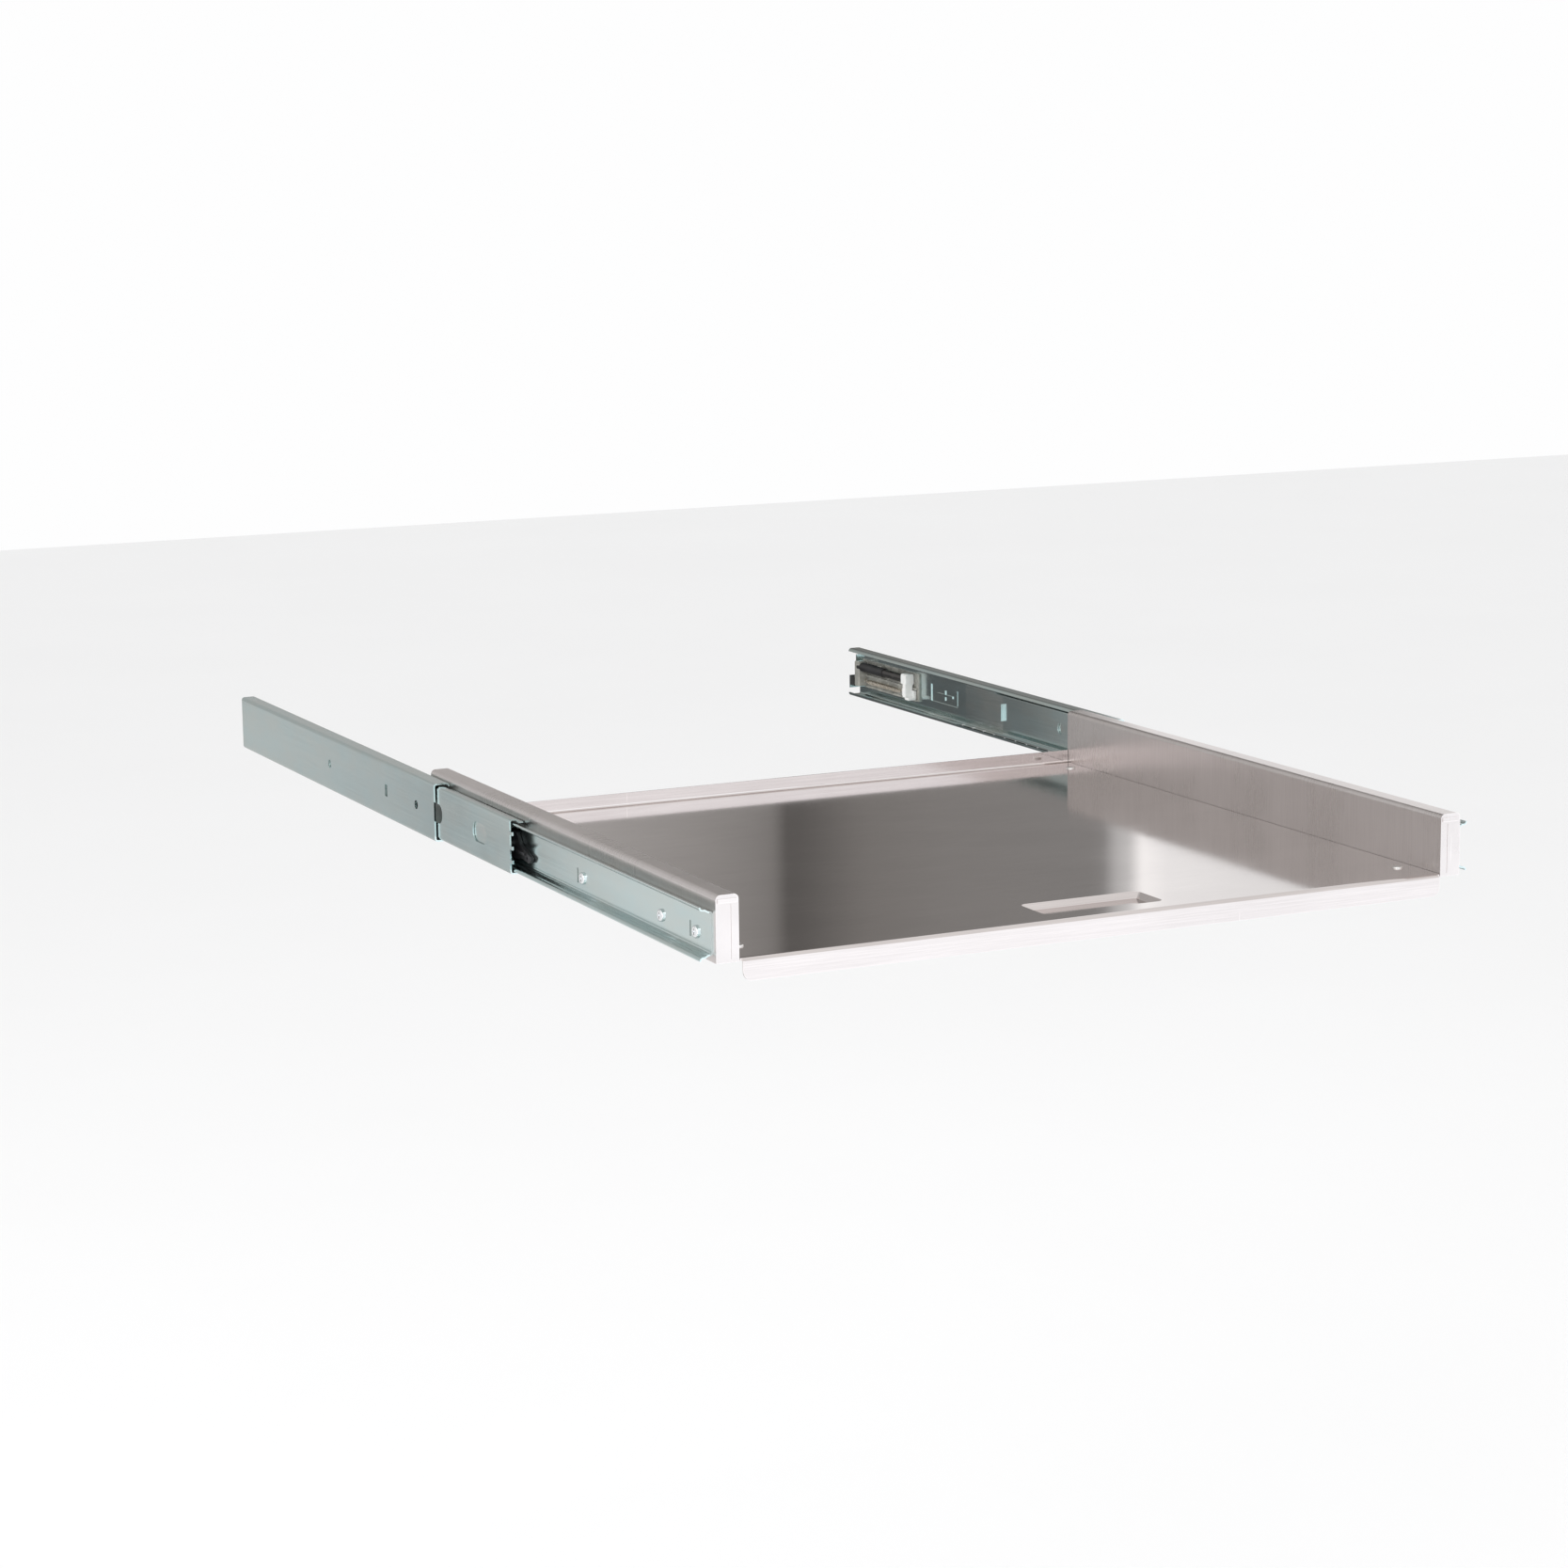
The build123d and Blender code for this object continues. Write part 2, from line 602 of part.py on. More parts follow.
# ---------------------------------------------------------------- tray
def side_wall():
    """Left side wall: folded hollow box, open below, with a flange under the floor."""
    half = tray_steel / 2
    outer_x = -wall_outer_x + half
    inner_x = -wall_inner_x - half
    flange_z = -tray_steel - half
    points = [
        (outer_x, flange_z - half),
        (outer_x, wall_height - half),
        (inner_x, wall_height - half),
        (inner_x, flange_z),
        (-wall_inner_x + wall_flange_width, flange_z),
    ]
    edge = wall_edge_radius - half
    wall = run(folded_sheet(points, [edge, edge, 0.8], tray_steel), tray_front, tray_back)
    cap_depth = 1.0
    cap_x = (-wall_outer_x, -wall_inner_x)
    cap = box(cap_x, (tray_front, tray_front + cap_depth), (flange_z - half, wall_height))
    cap = fillet(cap.edges().filter_by(Axis.Y).group_by(Axis.Z)[-1], wall_edge_radius)
    hem_x = (cap_x[0] + 1.2, cap_x[1] - 1.2)
    hem = box(hem_x, (tray_front - 0.7, tray_front), (wall_height - 5.2, wall_height - 2.6))
    seam = box((cap_x[1] - 5.4, cap_x[1] - 5.0), (tray_front - 1, tray_front + 0.5), (0, wall_height - 6))
    bend_back = tray_front - front_lip_overhang + tray_steel + front_bend_radius
    bend_relief = box(
        (-wall_inner_x, -wall_inner_x + wall_flange_width + 1),
        (tray_front - 1, bend_back + floor_side_gap),
        (flange_z - tray_steel, 0),
    )
    wall = wall + cap + hem - seam - bend_relief
    for along in rivet_from_front:
        place = (-wall_inner_x + rivet_from_wall, tray_front + along)
        wall -= rod((*place, flange_z - 1), (*place, flange_z + 1), rivet_shank_diameter / 2)
    fixings = [(from_front, -screw_drop, screw_diameter) for from_front in screw_from_front]
    fixings.append((spare_fixing_from_front, 0, spare_fixing_diameter))
    through = (-wall_outer_x - 1, -wall_outer_x + tray_steel + 0.5)
    for from_front, height, diameter in fixings:
        wall -= upright_hole(through, tray_front + from_front, slide_centre_z + height, diameter)
    return wall


def tray_pan():
    """Floor with its back edge turned up, front lip turned down and finger recess."""
    half = tray_steel / 2
    pan_front = tray_front - front_lip_overhang
    points = [
        (pan_front + half, -front_lip_drop),
        (pan_front + half, -half),
        (tray_back - half, -half),
        (tray_back - half, back_upstand),
    ]
    radii = [front_bend_radius + half, back_bend_radius + half]
    section = folded_sheet(points, radii, tray_steel)
    half_width = wall_inner_x - floor_side_gap
    profile = Plane(origin=(-half_width, 0, 0), x_dir=(0, 1, 0), z_dir=(1, 0, 0)) * section
    pan = extrude(profile, amount=2 * half_width)
    for side in (-1, 1):
        lip_end = side * (wall_inner_x - lip_end_gap)
        end_x = sorted((lip_end, side * (half_width + 1)))
        notch_back = tray_front + 0.2
        pan -= box(end_x, (pan_front - 1, notch_back), (-front_lip_drop - 1, 1))
        pan -= lip_corner(lip_end, -front_lip_drop, side, pan_front)
        for along in rivet_from_front:
            place = (side * (wall_inner_x - rivet_from_wall), tray_front + along)
            pan -= rod((*place, -tray_steel - 1), (*place, 1), rivet_shank_diameter / 2)
    return with_recess(pan)


def lip_corner(corner_x, corner_z, side, pan_front):
    """Cutter that rounds one lower corner of the front lip."""
    radius = lip_corner_radius
    span_x = sorted((corner_x - side * radius, corner_x + side))
    block = box(span_x, (pan_front - 1, tray_front + 0.2), (corner_z - 1, corner_z + radius))
    centre = (corner_x - side * radius, corner_z + radius)
    disc = rod((centre[0], pan_front - 2, centre[1]), (centre[0], tray_front + 1, centre[1]), radius)
    return block - disc


def recess_tub(width, depth, drop, radius):
    """A shallow tub with sloping sides, hanging from the floor's top face."""
    centre = (recess_offset, tray_front + recess_front + recess_depth / 2, 0)
    outline = RectangleRounded(width, depth, radius)
    return Pos(*centre) * extrude(outline, amount=-drop, taper=35)


def with_recess(pan):
    """Press the finger recess into the floor."""
    rim = tray_steel
    outside = recess_tub(recess_width, recess_depth, recess_drop, recess_corner_radius)
    inside = recess_tub(
        recess_width - 2 * rim,
        recess_depth - 2 * rim,
        recess_drop - tray_steel,
        recess_corner_radius - rim,
    )
    return pan + outside - inside


def wall_rivets():
    """Rivets through the floor and a wall's bottom flange, on the left side."""
    rivets = []
    for along in rivet_from_front:
        x = -wall_inner_x + rivet_from_wall
        y = tray_front + along
        head = Pos(x, y, 0) * extrude(Circle(rivet_head_diameter / 2), amount=rivet_head_height)
        rim = head.edges().filter_by(GeomType.CIRCLE).sort_by(Axis.Z)[-1]
        head = fillet(rim, 0.8)
        shank = rod((x, y, -2 * tray_steel), (x, y, 0), rivet_shank_diameter / 2)
        tail_z = -2 * tray_steel
        tail = rod((x, y, tail_z - 1.0), (x, y, tail_z), rivet_head_diameter / 2 - 0.8)
        rivets.append(head + shank + tail)
    return Compound(children=rivets)


# ---------------------------------------------------------------- write the pieces
def save(name, shape):
    """Write one named piece."""
    shape.label = name
    export_step(shape, f"parts/{name}.step")


def main():
    os.makedirs("parts", exist_ok=True)
    outer_places = ball_row(outer_cage_front, outer_cage_back, outer_ball_pitch)
    inner_places = ball_row(inner_cage_front, inner_cage_back, inner_ball_pitch)
    slide_pieces = {
        "cabinet_member": cabinet_member(),
        "outer_ball_cage": cage(
            outer_cage_section(), outer_cage_front, outer_cage_back,
            outer_places, outer_ball_u, outer_ball_v,
        ),
        "outer_balls": balls(outer_places, outer_ball_u, outer_ball_v),
        "middle_member": middle_member(),
        "inner_ball_cage": cage(
            inner_cage_section(), inner_cage_front, inner_cage_back,
            inner_places, inner_ball_u, inner_ball_v,
        ),
        "inner_balls": balls(inner_places, inner_ball_u, inner_ball_v),
        "drawer_member": drawer_member(),
        "release_lever": release_lever(),
        "lever_pivot": lever_pivot(),
        "drawer_screws": drawer_screws(),
        "closer_housing": closer_housing(),
        "damper_sleeve": damper_sleeve(),
        "damper_body": damper_body(),
        "closer_carriage": closer_carriage(),
        "closer_spring": closer_spring(),
        "end_bumper": end_bumper(),
    }
    for name, piece in slide_pieces.items():
        save(f"left_{name}", place_left(piece))
        save(f"right_{name}", place_right(piece))
    tray_sides = {"side_wall": side_wall(), "wall_rivets": wall_rivets()}
    for name, piece in tray_sides.items():
        save(f"left_{name}", piece)
        save(f"right_{name}", mirror(piece, about=Plane.YZ))
    save("tray_pan", tray_pan())


main()
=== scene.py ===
# %% [markdown]
# # A pull-out steel tray on two ball-bearing slides
#
# The exact parts come ready made, in metres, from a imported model. This lesson gives
# them their finishes, adds what a metal workshop would add by hand, and sets up a
# small photo studio. The frame is imported first, because every later place is
# measured on it instead of being typed in.

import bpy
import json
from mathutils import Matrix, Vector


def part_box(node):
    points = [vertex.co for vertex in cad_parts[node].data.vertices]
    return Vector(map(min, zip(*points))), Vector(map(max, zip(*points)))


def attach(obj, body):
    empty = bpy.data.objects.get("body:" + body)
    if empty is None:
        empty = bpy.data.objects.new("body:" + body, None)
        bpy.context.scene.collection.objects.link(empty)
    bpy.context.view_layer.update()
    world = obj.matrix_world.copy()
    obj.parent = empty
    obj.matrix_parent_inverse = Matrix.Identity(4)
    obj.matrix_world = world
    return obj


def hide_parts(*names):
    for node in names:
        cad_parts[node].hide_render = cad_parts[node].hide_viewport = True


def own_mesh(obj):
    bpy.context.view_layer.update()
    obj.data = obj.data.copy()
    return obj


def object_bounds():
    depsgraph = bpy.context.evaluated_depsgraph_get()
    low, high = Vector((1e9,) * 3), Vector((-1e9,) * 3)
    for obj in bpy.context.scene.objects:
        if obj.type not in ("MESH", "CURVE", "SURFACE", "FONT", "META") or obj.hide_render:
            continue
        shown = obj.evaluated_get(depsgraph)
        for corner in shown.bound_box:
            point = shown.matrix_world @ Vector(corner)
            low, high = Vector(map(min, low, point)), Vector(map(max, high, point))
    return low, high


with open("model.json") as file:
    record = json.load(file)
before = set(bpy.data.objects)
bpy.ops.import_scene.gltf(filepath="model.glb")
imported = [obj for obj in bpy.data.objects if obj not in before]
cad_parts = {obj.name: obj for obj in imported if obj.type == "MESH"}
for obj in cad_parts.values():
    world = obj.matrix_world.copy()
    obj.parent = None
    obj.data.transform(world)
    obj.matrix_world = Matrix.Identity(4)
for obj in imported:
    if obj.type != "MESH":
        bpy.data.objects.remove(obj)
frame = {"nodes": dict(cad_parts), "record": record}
cad_low, cad_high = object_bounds()
print("outside size, m:", [round(size, 4) for size in cad_high - cad_low])

# %% Modules for the rest of the lesson
import json
import math

import bmesh
import bpy
from mathutils import Matrix, Vector

mm = 0.001
sides = ("left", "right")
nodes = frame["nodes"]

# %% [markdown]
# ## The camera
#
# The tray is seen from its front left, a little above, through a long lens: lines
# that run into the cabinet close up only slowly. A short lens close by would fill the
# picture too, but it would blow up the near corner. The camera is placed from the
# tray's own front left corner, then turned by three plain angles: a heading, a
# tilt down and a slight roll.

# %% Place the camera
wall_low, wall_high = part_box("left_side_wall")
near_corner = Vector((wall_low.x, wall_low.y, 0))
camera_offset = Vector((-0.8737, -1.9167, 0.4934))
heading, tilt_down, roll = (math.radians(angle) for angle in (25.635, 10.384, -0.664))

lens = bpy.data.cameras.new("studio_camera")
lens.sensor_width = 36.0
lens.lens = 82.74
lens.clip_start = 0.05
lens.clip_end = 60.0
camera = bpy.data.objects.new("studio_camera", lens)
bpy.context.scene.collection.objects.link(camera)
turn = (
    Matrix.Rotation(-heading, 4, "Z")
    @ Matrix.Rotation(math.pi / 2 - tilt_down, 4, "X")
    @ Matrix.Rotation(roll, 4, "Z")
)
camera.matrix_world = Matrix.Translation(near_corner + camera_offset) @ turn
bpy.context.scene.camera = camera
print("camera at", [round(value, 3) for value in camera.location])

# %% [markdown]
# ## A few hands for building node trees
#
# A finish is a small machine of nodes. Wiring it by mouse is fine for one material;
# for a dozen, three helpers keep each recipe as short as its description: one adds a
# node and fills its sockets, one gives its first useful output, and one makes an
# empty material whose shader is ready to be wired.

# %% Node helpers
def add_node(tree, kind, settings=None, **sockets):
    """A node with its settings and its sockets filled: a value, or a socket to link."""
    node = tree.nodes.new(kind)
    for name, value in (settings or {}).items():
        setattr(node, name, value)
    for name, value in sockets.items():
        socket = socket_named(node, name)
        if isinstance(value, bpy.types.NodeSocket):
            tree.links.new(value, socket)
        else:
            socket.default_value = value
    return node


def socket_named(node, name):
    """An enabled input by its name in plain words, or by its number as n0, n1, n2."""
    if name[0] == "n" and name[1:].isdigit():
        return node.inputs[int(name[1:])]
    wanted = name.replace("_", " ").lower()
    for socket in node.inputs:
        if socket.name.lower() == wanted and socket.enabled:
            return socket
    raise KeyError(f"{node.bl_idname} has no input {name}")


def maths(tree, operation, first, second=0.0, clamp=False):
    """The result of one Math node."""
    settings = {"operation": operation, "use_clamp": clamp}
    return add_node(tree, "ShaderNodeMath", settings, n0=first, n1=second).outputs[0]


def spread(tree, value, low, high, new_low=0.0, new_high=1.0):
    """A value mapped from one range to another, held inside it."""
    node = add_node(tree, "ShaderNodeMapRange", {"interpolation_type": "SMOOTHSTEP"})
    limits = {"From Min": low, "From Max": high, "To Min": new_low, "To Max": new_high}
    for name, number in limits.items():
        node.inputs[name].default_value = number
    tree.links.new(value, node.inputs["Value"])
    return node.outputs[0]


def mix_colours(tree, share, first, second):
    """A blend of two colours by a share from 0 to 1."""
    node = add_node(tree, "ShaderNodeMix", {"data_type": "RGBA"})
    for place, value in ((0, share), (6, first), (7, second)):
        if isinstance(value, bpy.types.NodeSocket):
            tree.links.new(value, node.inputs[place])
        else:
            node.inputs[place].default_value = value
    return node.outputs[2]


# %% [markdown]
# ## Shared effects as node groups
#
# Every metal here shows the same few things at different strengths: fine lines left by
# brushing or rolling, slow clouds from handling, thin scratches, and edges polished
# by use that also carry a painted highlight. Copying the nodes into each material
# would work, but one change would then be made ten times. A node group is built once
# and placed in each material with its own values, like a stamp.

# %% A group starts with named sockets
def new_group(name, inputs, outputs):
    """An empty shader group with float or vector inputs and float outputs."""
    group = bpy.data.node_groups.new(name, "ShaderNodeTree")
    for socket_name, default in inputs.items():
        kind = "NodeSocketVector" if isinstance(default, tuple) else "NodeSocketFloat"
        socket = group.interface.new_socket(name=socket_name, in_out="INPUT", socket_type=kind)
        socket.default_value = default
    for socket_name in outputs:
        group.interface.new_socket(
            name=socket_name, in_out="OUTPUT", socket_type="NodeSocketFloat"
        )
    entry = group.nodes.new("NodeGroupInput")
    leave = group.nodes.new("NodeGroupOutput")
    return group, entry, leave


def stretched_noise(tree, stretch, detail=2.0, roughness=0.55):
    """Noise on the piece's own metres, stretched by a vector of lines per metre."""
    place = tree.nodes.new("ShaderNodeTexCoord").outputs["Object"]
    moved = add_node(tree, "ShaderNodeVectorMath", {"operation": "MULTIPLY"}, n0=place, n1=stretch)
    noise = add_node(
        tree, "ShaderNodeTexNoise",
        vector=moved.outputs[0], scale=1.0, detail=detail, roughness=roughness,
    )
    return noise.outputs[0]


# %% [markdown]
# ### Brushed and rolled lines
#
# A belt or a roller leaves lines that are a few tenths of a millimetre wide and
# centimetres long. Noise stretched hard along one axis gives just that, and it needs
# no unwrapped surface, because it reads the piece's own position in metres. A second,
# finer layer keeps the lines from looking like one comb.

# %% Group: drawn lines
def make_drawn_lines():
    group, entry, leave = new_group(
        "drawn_lines",
        {"Lines": (20.0, 1500.0, 1500.0), "Fine Lines": (60.0, 4200.0, 4200.0)},
        ["Lines"],
    )
    coarse = stretched_noise(group, entry.outputs["Lines"])
    fine = stretched_noise(group, entry.outputs["Fine Lines"])
    coarse_part = maths(group, "MULTIPLY", coarse, 0.55)
    fine_part = maths(group, "MULTIPLY", fine, 0.45)
    both = maths(group, "ADD", coarse_part, fine_part)
    group.links.new(spread(group, both, 0.34, 0.66), leave.inputs["Lines"])
    return group


drawn_lines = make_drawn_lines()

# %% [markdown]
# ### Clouds from handling
#
# Sheet metal is never evenly clean: wiping and fingers leave wide, faint patches that
# are only seen where the gloss changes. Low, soft noise does this, and it goes into
# the roughness more than into the colour.

# %% Group: handling clouds
def make_handling_clouds():
    group, entry, leave = new_group("handling_clouds", {"Size": (14.0, 14.0, 14.0)}, ["Clouds"])
    clouds = stretched_noise(group, entry.outputs["Size"], detail=3.0, roughness=0.6)
    group.links.new(spread(group, clouds, 0.32, 0.68), leave.inputs["Clouds"])
    return group


handling_clouds = make_handling_clouds()

# %% [markdown]
# ### Hair scratches
#
# A used tray has a few thin bright scratches at odd angles. Two stretched noises that
# are turned against the grain are cut off high up, so only their rare peaks stay, and
# a wide noise hides most of those again: scratches come in small families.

# %% Group: hair scratches
def make_hair_scratches():
    group, entry, leave = new_group("hair_scratches", {"Amount": 1.0}, ["Scratches"])
    place = group.nodes.new("ShaderNodeTexCoord").outputs["Object"]
    found = None
    for angle, stretch in ((0.35, (24, 2600, 24)), (-0.9, (2200, 30, 30))):
        turned = add_node(
            group, "ShaderNodeVectorRotate", {"rotation_type": "Z_AXIS"}, vector=place, angle=angle
        )
        moved = add_node(
            group, "ShaderNodeVectorMath", {"operation": "MULTIPLY"},
            n0=turned.outputs[0], n1=stretch,
        )
        noise = add_node(
            group, "ShaderNodeTexNoise", vector=moved.outputs[0], scale=1.0, detail=1.0
        )
        peaks = spread(group, noise.outputs[0], 0.735, 0.80)
        found = peaks if found is None else maths(group, "MAXIMUM", found, peaks)
    family = add_node(group, "ShaderNodeTexNoise", vector=place, scale=9.0, detail=1.0)
    kept = maths(group, "MULTIPLY", found, spread(group, family.outputs[0], 0.52, 0.62))
    shown = maths(group, "MULTIPLY", kept, entry.outputs["Amount"])
    group.links.new(shown, leave.inputs["Scratches"])
    return group


hair_scratches = make_hair_scratches()

# %% [markdown]
# ### Worn edges with a painted highlight
#
# Folded and sheared edges are rubbed smoother than the faces, and their colour is also
# painted brighter: a painted highlight where a rounded edge would catch the light. The
# Bevel node gives the normal that a softly rounded edge would have. Where it differs
# from the real normal, there is an edge, and the difference makes a mask.

# %% Group: worn edges with a painted highlight
def make_edge_wear_and_highlight():
    group, entry, leave = new_group("edge_wear_and_highlight", {"Width": 0.0008}, ["Edge"])
    soft = add_node(group, "ShaderNodeBevel", {"samples": 4}, radius=entry.outputs["Width"])
    real = group.nodes.new("ShaderNodeNewGeometry").outputs["Normal"]
    agree = add_node(
        group, "ShaderNodeVectorMath", {"operation": "DOT_PRODUCT"}, n0=soft.outputs[0], n1=real
    )
    group.links.new(spread(group, agree.outputs["Value"], 0.995, 0.88), leave.inputs["Edge"])
    return group


edge_wear_and_highlight = make_edge_wear_and_highlight()

# %% [markdown]
# ### Moulded skin
#
# Injection-moulded plastic has the fine, even sparkle of the eroded mould, with slow
# sink marks over it. Two noises of very different size give both.

# %% Group: moulded skin
def make_moulded_skin():
    group, entry, leave = new_group(
        "moulded_skin", {"Grain": (2600.0, 2600.0, 2600.0)}, ["Grain", "Sink"]
    )
    grain = stretched_noise(group, entry.outputs["Grain"], detail=1.0)
    sink = stretched_noise(group, (90.0, 90.0, 90.0), detail=2.0)
    group.links.new(grain, leave.inputs["Grain"])
    group.links.new(spread(group, sink, 0.3, 0.7), leave.inputs["Sink"])
    return group


moulded_skin = make_moulded_skin()
print("groups:", [group.name for group in bpy.data.node_groups])

# %% [markdown]
# ## Metal finishes
#
# All the metals share one recipe. The colour swings a little between a light and a
# dark tone with the lines and clouds, edges get a painted highlight that makes their
# colour brighter, and the same lines drive the roughness and a very shallow bump.
# What differs is the tone, the direction of the lines and how strongly the gloss is
# pulled across them. A brushed face smears reflections across its lines, so the
# shader's anisotropy is turned up and its tangent is set square to the lines.

# %% The metal recipe
def place_group(tree, group, **sockets):
    """One of the shared effects, placed in a material with its own values."""
    node = tree.nodes.new("ShaderNodeGroup")
    node.node_tree = group
    for name, value in sockets.items():
        node.inputs[name.replace("_", " ")].default_value = value
    return node


def empty_material(name):
    """A new material with only its shader and output, and the two handed back."""
    material = bpy.data.materials.new(name)
    material.use_nodes = True
    shader = material.node_tree.nodes["Principled BSDF"]
    return material, material.node_tree, shader


def metal(
    name, light, dark, lines, fine_lines, rough, swing, bump,
    anisotropy=0.0, across=None, scratches=0.0,
):
    """Drawn metal: light and dark tones, line directions, roughness and its swing."""
    material, tree, shader = empty_material(name)
    drawn = place_group(tree, drawn_lines, Lines=lines, Fine_Lines=fine_lines).outputs["Lines"]
    cloud_size = tuple(9.0 + 6.0 * (count > 100) for count in lines)
    clouds = place_group(tree, handling_clouds, Size=cloud_size).outputs["Clouds"]
    edge = place_group(tree, edge_wear_and_highlight).outputs["Edge"]
    scratch = place_group(tree, hair_scratches, Amount=scratches).outputs["Scratches"]

    drawn_part = maths(tree, "MULTIPLY", drawn, 0.6)
    share = maths(tree, "ADD", drawn_part, maths(tree, "MULTIPLY", clouds, 0.4))
    base = mix_colours(tree, share, (*dark, 1), (*light, 1))
    # Colour painted brighter: real wear on the scratches, and on the edges a painted highlight as
    # well as wear.
    bright = maths(tree, "MAXIMUM", maths(tree, "MULTIPLY", edge, 0.55), scratch)
    tone = tuple(min(1.0, value * 1.22) for value in light)
    tree.links.new(mix_colours(tree, bright, base, (*tone, 1)), shader.inputs["Base Color"])

    cloud_part = maths(tree, "MULTIPLY", clouds, 0.6)
    uneven = maths(tree, "ADD", cloud_part, maths(tree, "MULTIPLY", drawn, 0.4))
    roughness = spread(tree, uneven, 0.0, 1.0, rough - swing, rough + swing)
    worn = maths(tree, "SUBTRACT", roughness, maths(tree, "MULTIPLY", edge, 0.06))
    tree.links.new(worn, shader.inputs["Roughness"])

    height = maths(tree, "SUBTRACT", drawn, maths(tree, "MULTIPLY", scratch, 2.0))
    line_depth = 0.02 * mm
    lift = add_node(tree, "ShaderNodeBump", strength=bump, distance=line_depth, height=height)
    tree.links.new(lift.outputs[0], shader.inputs["Normal"])
    shader.inputs["Metallic"].default_value = 1.0
    if across:
        shader.inputs["Anisotropic"].default_value = anisotropy
        shader.inputs["Anisotropic Rotation"].default_value = 0.25 if across == "Y" else 0.0
        tangent = add_node(tree, "ShaderNodeTangent", {"direction_type": "RADIAL", "axis": across})
        tree.links.new(tangent.outputs[0], shader.inputs["Tangent"])
    return material


# %% [markdown]
# ### Stainless steel for the tray
#
# The floor's grain runs from side to side, and the walls' grain runs up and down and
# over the top, because each sheet was folded from a flat blank. Stainless is a warm
# grey, slightly pink beside zinc. The walls come from a brighter sheet.

# %% Tray metals
stainless_pan = metal(
    "brushed_stainless_floor", (0.70, 0.648, 0.632), (0.61, 0.562, 0.547), (16.0, 1300.0, 1300.0),
    (50.0, 3900.0, 3900.0), 0.070, 0.012, 0.07, anisotropy=0.80, across="X", scratches=1.0,
)
stainless_wall = metal(
    "brushed_stainless_wall", (0.72, 0.675, 0.66), (0.63, 0.585, 0.57), (16.0, 1200.0, 16.0),
    (50.0, 3300.0, 50.0), 0.29, 0.03, 0.16, anisotropy=0.70, across="Y", scratches=0.5,
)
stainless_rivet = metal(
    "satin_rivet", (0.78, 0.76, 0.74), (0.60, 0.58, 0.56), (700.0, 700.0, 700.0),
    (2600.0, 2600.0, 2600.0), 0.28, 0.08, 0.10,
)

# %% [markdown]
# ### Zinc for the slides
#
# Slide members are cold rolled, then plated with bright zinc and dipped in a clear
# blue bath. The lines run along the slide. The bath leaves a cool green-blue tone
# that drifts to straw in places, so the zinc recipe adds a second, wider drift of
# tint on top of the metal recipe.

# %% Slide metals
def zinc(name, light, dark, rough):
    """Blue-passivated zinc plate with a drifting tint."""
    material = metal(
        name, light, dark, (1500.0, 8.0, 1500.0), (4300.0, 25.0, 4300.0), rough, 0.03, 0.035,
        anisotropy=0.40, across="X", scratches=0.5,
    )
    tree = material.node_tree
    shader = tree.nodes["Principled BSDF"]
    before = shader.inputs["Base Color"].links[0].from_socket
    drift = place_group(tree, handling_clouds, Size=(60.0, 22.0, 60.0)).outputs["Clouds"]
    straw = mix_colours(tree, drift, (0.95, 1.0, 1.0, 1), (1.0, 0.99, 0.965, 1))
    tinted = add_node(tree, "ShaderNodeMix", {"data_type": "RGBA", "blend_type": "MULTIPLY"})
    tinted.inputs[0].default_value = 1.0
    tree.links.new(before, tinted.inputs[6])
    tree.links.new(straw, tinted.inputs[7])
    tree.links.new(tinted.outputs[2], shader.inputs["Base Color"])
    return material


zinc_plate = zinc("blue_zinc_plate", (0.60, 0.675, 0.675), (0.54, 0.61, 0.61), 0.17)
cage_strip = zinc("plated_cage_strip", (0.60, 0.64, 0.63), (0.52, 0.56, 0.55), 0.24)
ball_steel = metal(
    "polished_ball_steel", (0.80, 0.80, 0.81), (0.70, 0.70, 0.71), (300.0, 300.0, 300.0),
    (1500.0, 1500.0, 1500.0), 0.09, 0.03, 0.02,
)
fastener_steel = metal(
    "bright_fastener_steel", (0.90, 0.91, 0.92), (0.78, 0.79, 0.80), (900.0, 900.0, 900.0),
    (3000.0, 3000.0, 3000.0), 0.15, 0.05, 0.04,
)
spring_wire = metal(
    "drawn_spring_wire", (0.64, 0.58, 0.50), (0.42, 0.36, 0.29), (900.0, 300.0, 900.0),
    (3000.0, 900.0, 3000.0), 0.30, 0.08, 0.05,
)

# %% [markdown]
# ## Plastics and rubber
#
# The lever is black glass-filled nylon, the closer's housing is a smoky, half-clear
# nylon, its carriage a milky acetal that lets a little light in, the damper tubes are
# smooth black, and the bumper is soft rubber. They share the moulded skin, with more
# of it in the bump for rubber and almost none for the damper.

